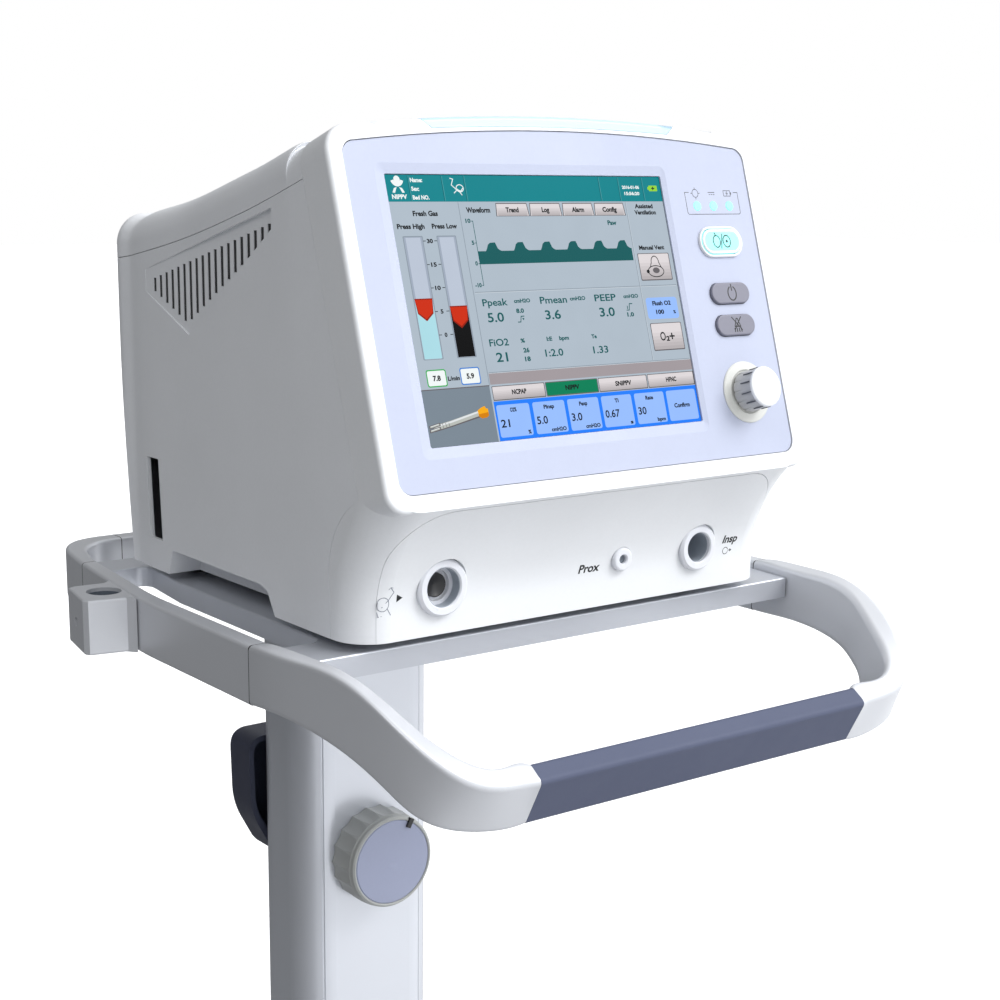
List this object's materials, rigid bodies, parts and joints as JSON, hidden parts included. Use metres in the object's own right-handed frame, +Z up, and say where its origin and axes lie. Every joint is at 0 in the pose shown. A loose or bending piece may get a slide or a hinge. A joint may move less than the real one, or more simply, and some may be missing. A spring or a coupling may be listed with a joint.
{
  "type": "mechanical ventilator",
  "caption": "Intensive-care ventilator: tilted touch-screen head unit with breathing-circuit ports, on a wheeled trolley with a pull handle and a column.",
  "frame": {"origin": "centre of the footprint on the floor", "axes": "+Z up; +Y to the rear, the screen faces -Y; +X to the right of a person facing the screen"},
  "size_m": [0.544, 0.5502, 1.1862],
  "materials": {
    "white_shell": "fine satin texture",
    "light_shell": "fine satin texture",
    "lavender_bezel": "satin",
    "glow_lens": "frosted translucent",
    "cyan_lens": "lit lens",
    "grey_key": "satin",
    "screen_glass": "smooth",
    "black_plastic": "satin",
    "metal_pin": "turned",
    "port_grey": "satin",
    "port_white": "satin",
    "panel_metal": "fine bead-blasted",
    "board_green": "solder mask",
    "galvanised": "plated sheet",
    "battery_blue": "wrapped",
    "screw_steel": "plated",
    "foot_rubber": "matt",
    "platform_grey": "powder coat",
    "arm_white": "smooth powder coat",
    "slate_plastic": "satin",
    "column_metal": "powder-coated extrusion",
    "knob_ring": "satin",
    "disc_blue": "inlaid",
    "base_paint": "powder coat",
    "fork_grey": "glass-filled",
    "wheel_grey": "satin",
    "tyre_grey": "non-marking",
    "pedal_red": "satin"
  },
  "bodies": {
    "frame": {"accessory_socket": "arm_white", "alarm_light_bar": "glow_lens", "base_frame": "base_paint", "battery_pack": "battery_blue", "bezel_panel": "lavender_bezel", "case_screws": "screw_steel", "chassis_tray": "galvanised", "column": "column_metal", "display_module": "black_plastic", "encoder_collar": "white_shell", "fan_frame": "black_plastic", "flow_sensor": "port_grey", "front_frame": "white_shell", "gas_blender": "panel_metal", "gas_inlets": "metal_pin", "grip": "slate_plastic", "hose_hook": "slate_plastic", "housing_shell": "light_shell", "insp_port": "port_white", "left_arm": "arm_white", "left_rail": "arm_white", "main_board": "board_green", "patient_port": "port_white", "platform": "platform_grey", "port_fascia": "white_shell", "power_inlet": "black_plastic", "power_supply": "galvanised", "prox_port": "port_white", "rear_bar": "arm_white", "rear_left_corner": "arm_white", "rear_panel": "panel_metal", "rear_right_corner": "arm_white", "right_arm": "arm_white", "right_rail": "arm_white", "status_lamps": "cyan_lens", "top_cover": "light_shell", "touch_screen": "screen_glass", "unit_feet": "foot_rubber"},
    "start_button": {"start_button": "cyan_lens"},
    "power_button": {"power_button": "grey_key"},
    "mute_button": {"mute_button": "grey_key"},
    "encoder_push": {"encoder_shaft": "metal_pin"},
    "encoder_turn": {"encoder_knob": "white_shell"},
    "fan": {"fan_rotor": "black_plastic"},
    "clamp_knob": {"column_knob": "knob_ring", "knob_disc": "disc_blue"},
    "swivel_fl": {"caster_fork_fl": "fork_grey"},
    "wheel_fl": {"caster_wheel_fl": "wheel_grey", "caster_tyre_fl": "tyre_grey"},
    "swivel_fr": {"caster_fork_fr": "fork_grey"},
    "wheel_fr": {"caster_wheel_fr": "wheel_grey", "caster_tyre_fr": "tyre_grey"},
    "swivel_rl": {"caster_fork_rl": "fork_grey"},
    "wheel_rl": {"caster_wheel_rl": "wheel_grey", "caster_tyre_rl": "tyre_grey"},
    "swivel_rr": {"caster_fork_rr": "fork_grey"},
    "wheel_rr": {"caster_wheel_rr": "wheel_grey", "caster_tyre_rr": "tyre_grey"},
    "pedal_fl": {"brake_pedal_fl": "pedal_red"},
    "pedal_fr": {"brake_pedal_fr": "pedal_red"}
  },
  "joints": [
    {"name": "start_press", "type": "slide", "parent": "frame", "child": "start_button", "axis": [0, 0.9545, -0.2984], "range_m": [0, 0.0012], "stiffness_N_per_m": 600, "springref_m": -0.001},
    {"name": "power_press", "type": "slide", "parent": "frame", "child": "power_button", "axis": [0, 0.9545, -0.2984], "range_m": [0, 0.0012], "stiffness_N_per_m": 600, "springref_m": -0.001},
    {"name": "mute_press", "type": "slide", "parent": "frame", "child": "mute_button", "axis": [0, 0.9545, -0.2984], "range_m": [0, 0.0012], "stiffness_N_per_m": 600, "springref_m": -0.001},
    {"name": "encoder_press", "type": "slide", "parent": "frame", "child": "encoder_push", "axis": [0, 0.9545, -0.2984], "range_m": [0, 0.0008], "stiffness_N_per_m": 1200, "springref_m": -0.001},
    {"name": "encoder_dial", "type": "hinge", "parent": "encoder_push", "child": "encoder_turn", "pos_m": [0.1232, -0.16886, 1.01568], "axis": [0, -0.9545, 0.2984], "continuous": true},
    {"name": "fan_spin", "type": "hinge", "parent": "frame", "child": "fan", "pos_m": [0.088, 0.14813, 0.996], "axis": [0, 0.9971, -0.0756], "continuous": true},
    {"name": "clamp_turn", "type": "hinge", "parent": "frame", "child": "clamp_knob", "pos_m": [0, 0.059, 0.6445], "axis": [0, -1, 0], "range_deg": [-720, 0]},
    {"name": "swivel_fl", "type": "hinge", "parent": "frame", "child": "swivel_fl", "pos_m": [-0.24, -0.23, 0.12], "axis": [0, 0, 1], "continuous": true},
    {"name": "roll_fl", "type": "hinge", "parent": "swivel_fl", "child": "wheel_fl", "pos_m": [-0.24, -0.205, 0.05], "axis": [1, 0, 0], "continuous": true},
    {"name": "swivel_fr", "type": "hinge", "parent": "frame", "child": "swivel_fr", "pos_m": [0.24, -0.23, 0.12], "axis": [0, 0, 1], "continuous": true},
    {"name": "roll_fr", "type": "hinge", "parent": "swivel_fr", "child": "wheel_fr", "pos_m": [0.24, -0.205, 0.05], "axis": [1, 0, 0], "continuous": true},
    {"name": "swivel_rl", "type": "hinge", "parent": "frame", "child": "swivel_rl", "pos_m": [-0.24, 0.2001, 0.12], "axis": [0, 0, 1], "continuous": true},
    {"name": "roll_rl", "type": "hinge", "parent": "swivel_rl", "child": "wheel_rl", "pos_m": [-0.24, 0.2251, 0.05], "axis": [1, 0, 0], "continuous": true},
    {"name": "swivel_rr", "type": "hinge", "parent": "frame", "child": "swivel_rr", "pos_m": [0.24, 0.2001, 0.12], "axis": [0, 0, 1], "continuous": true},
    {"name": "roll_rr", "type": "hinge", "parent": "swivel_rr", "child": "wheel_rr", "pos_m": [0.24, 0.2251, 0.05], "axis": [1, 0, 0], "continuous": true},
    {"name": "pedal_fl", "type": "hinge", "parent": "swivel_fl", "child": "pedal_fl", "pos_m": [-0.24, -0.206, 0.111], "axis": [1, 0, 0], "range_deg": [-6, 12]},
    {"name": "pedal_fr", "type": "hinge", "parent": "swivel_fr", "child": "pedal_fr", "pos_m": [0.24, -0.206, 0.111], "axis": [1, 0, 0], "range_deg": [-6, 12]}
  ]
}
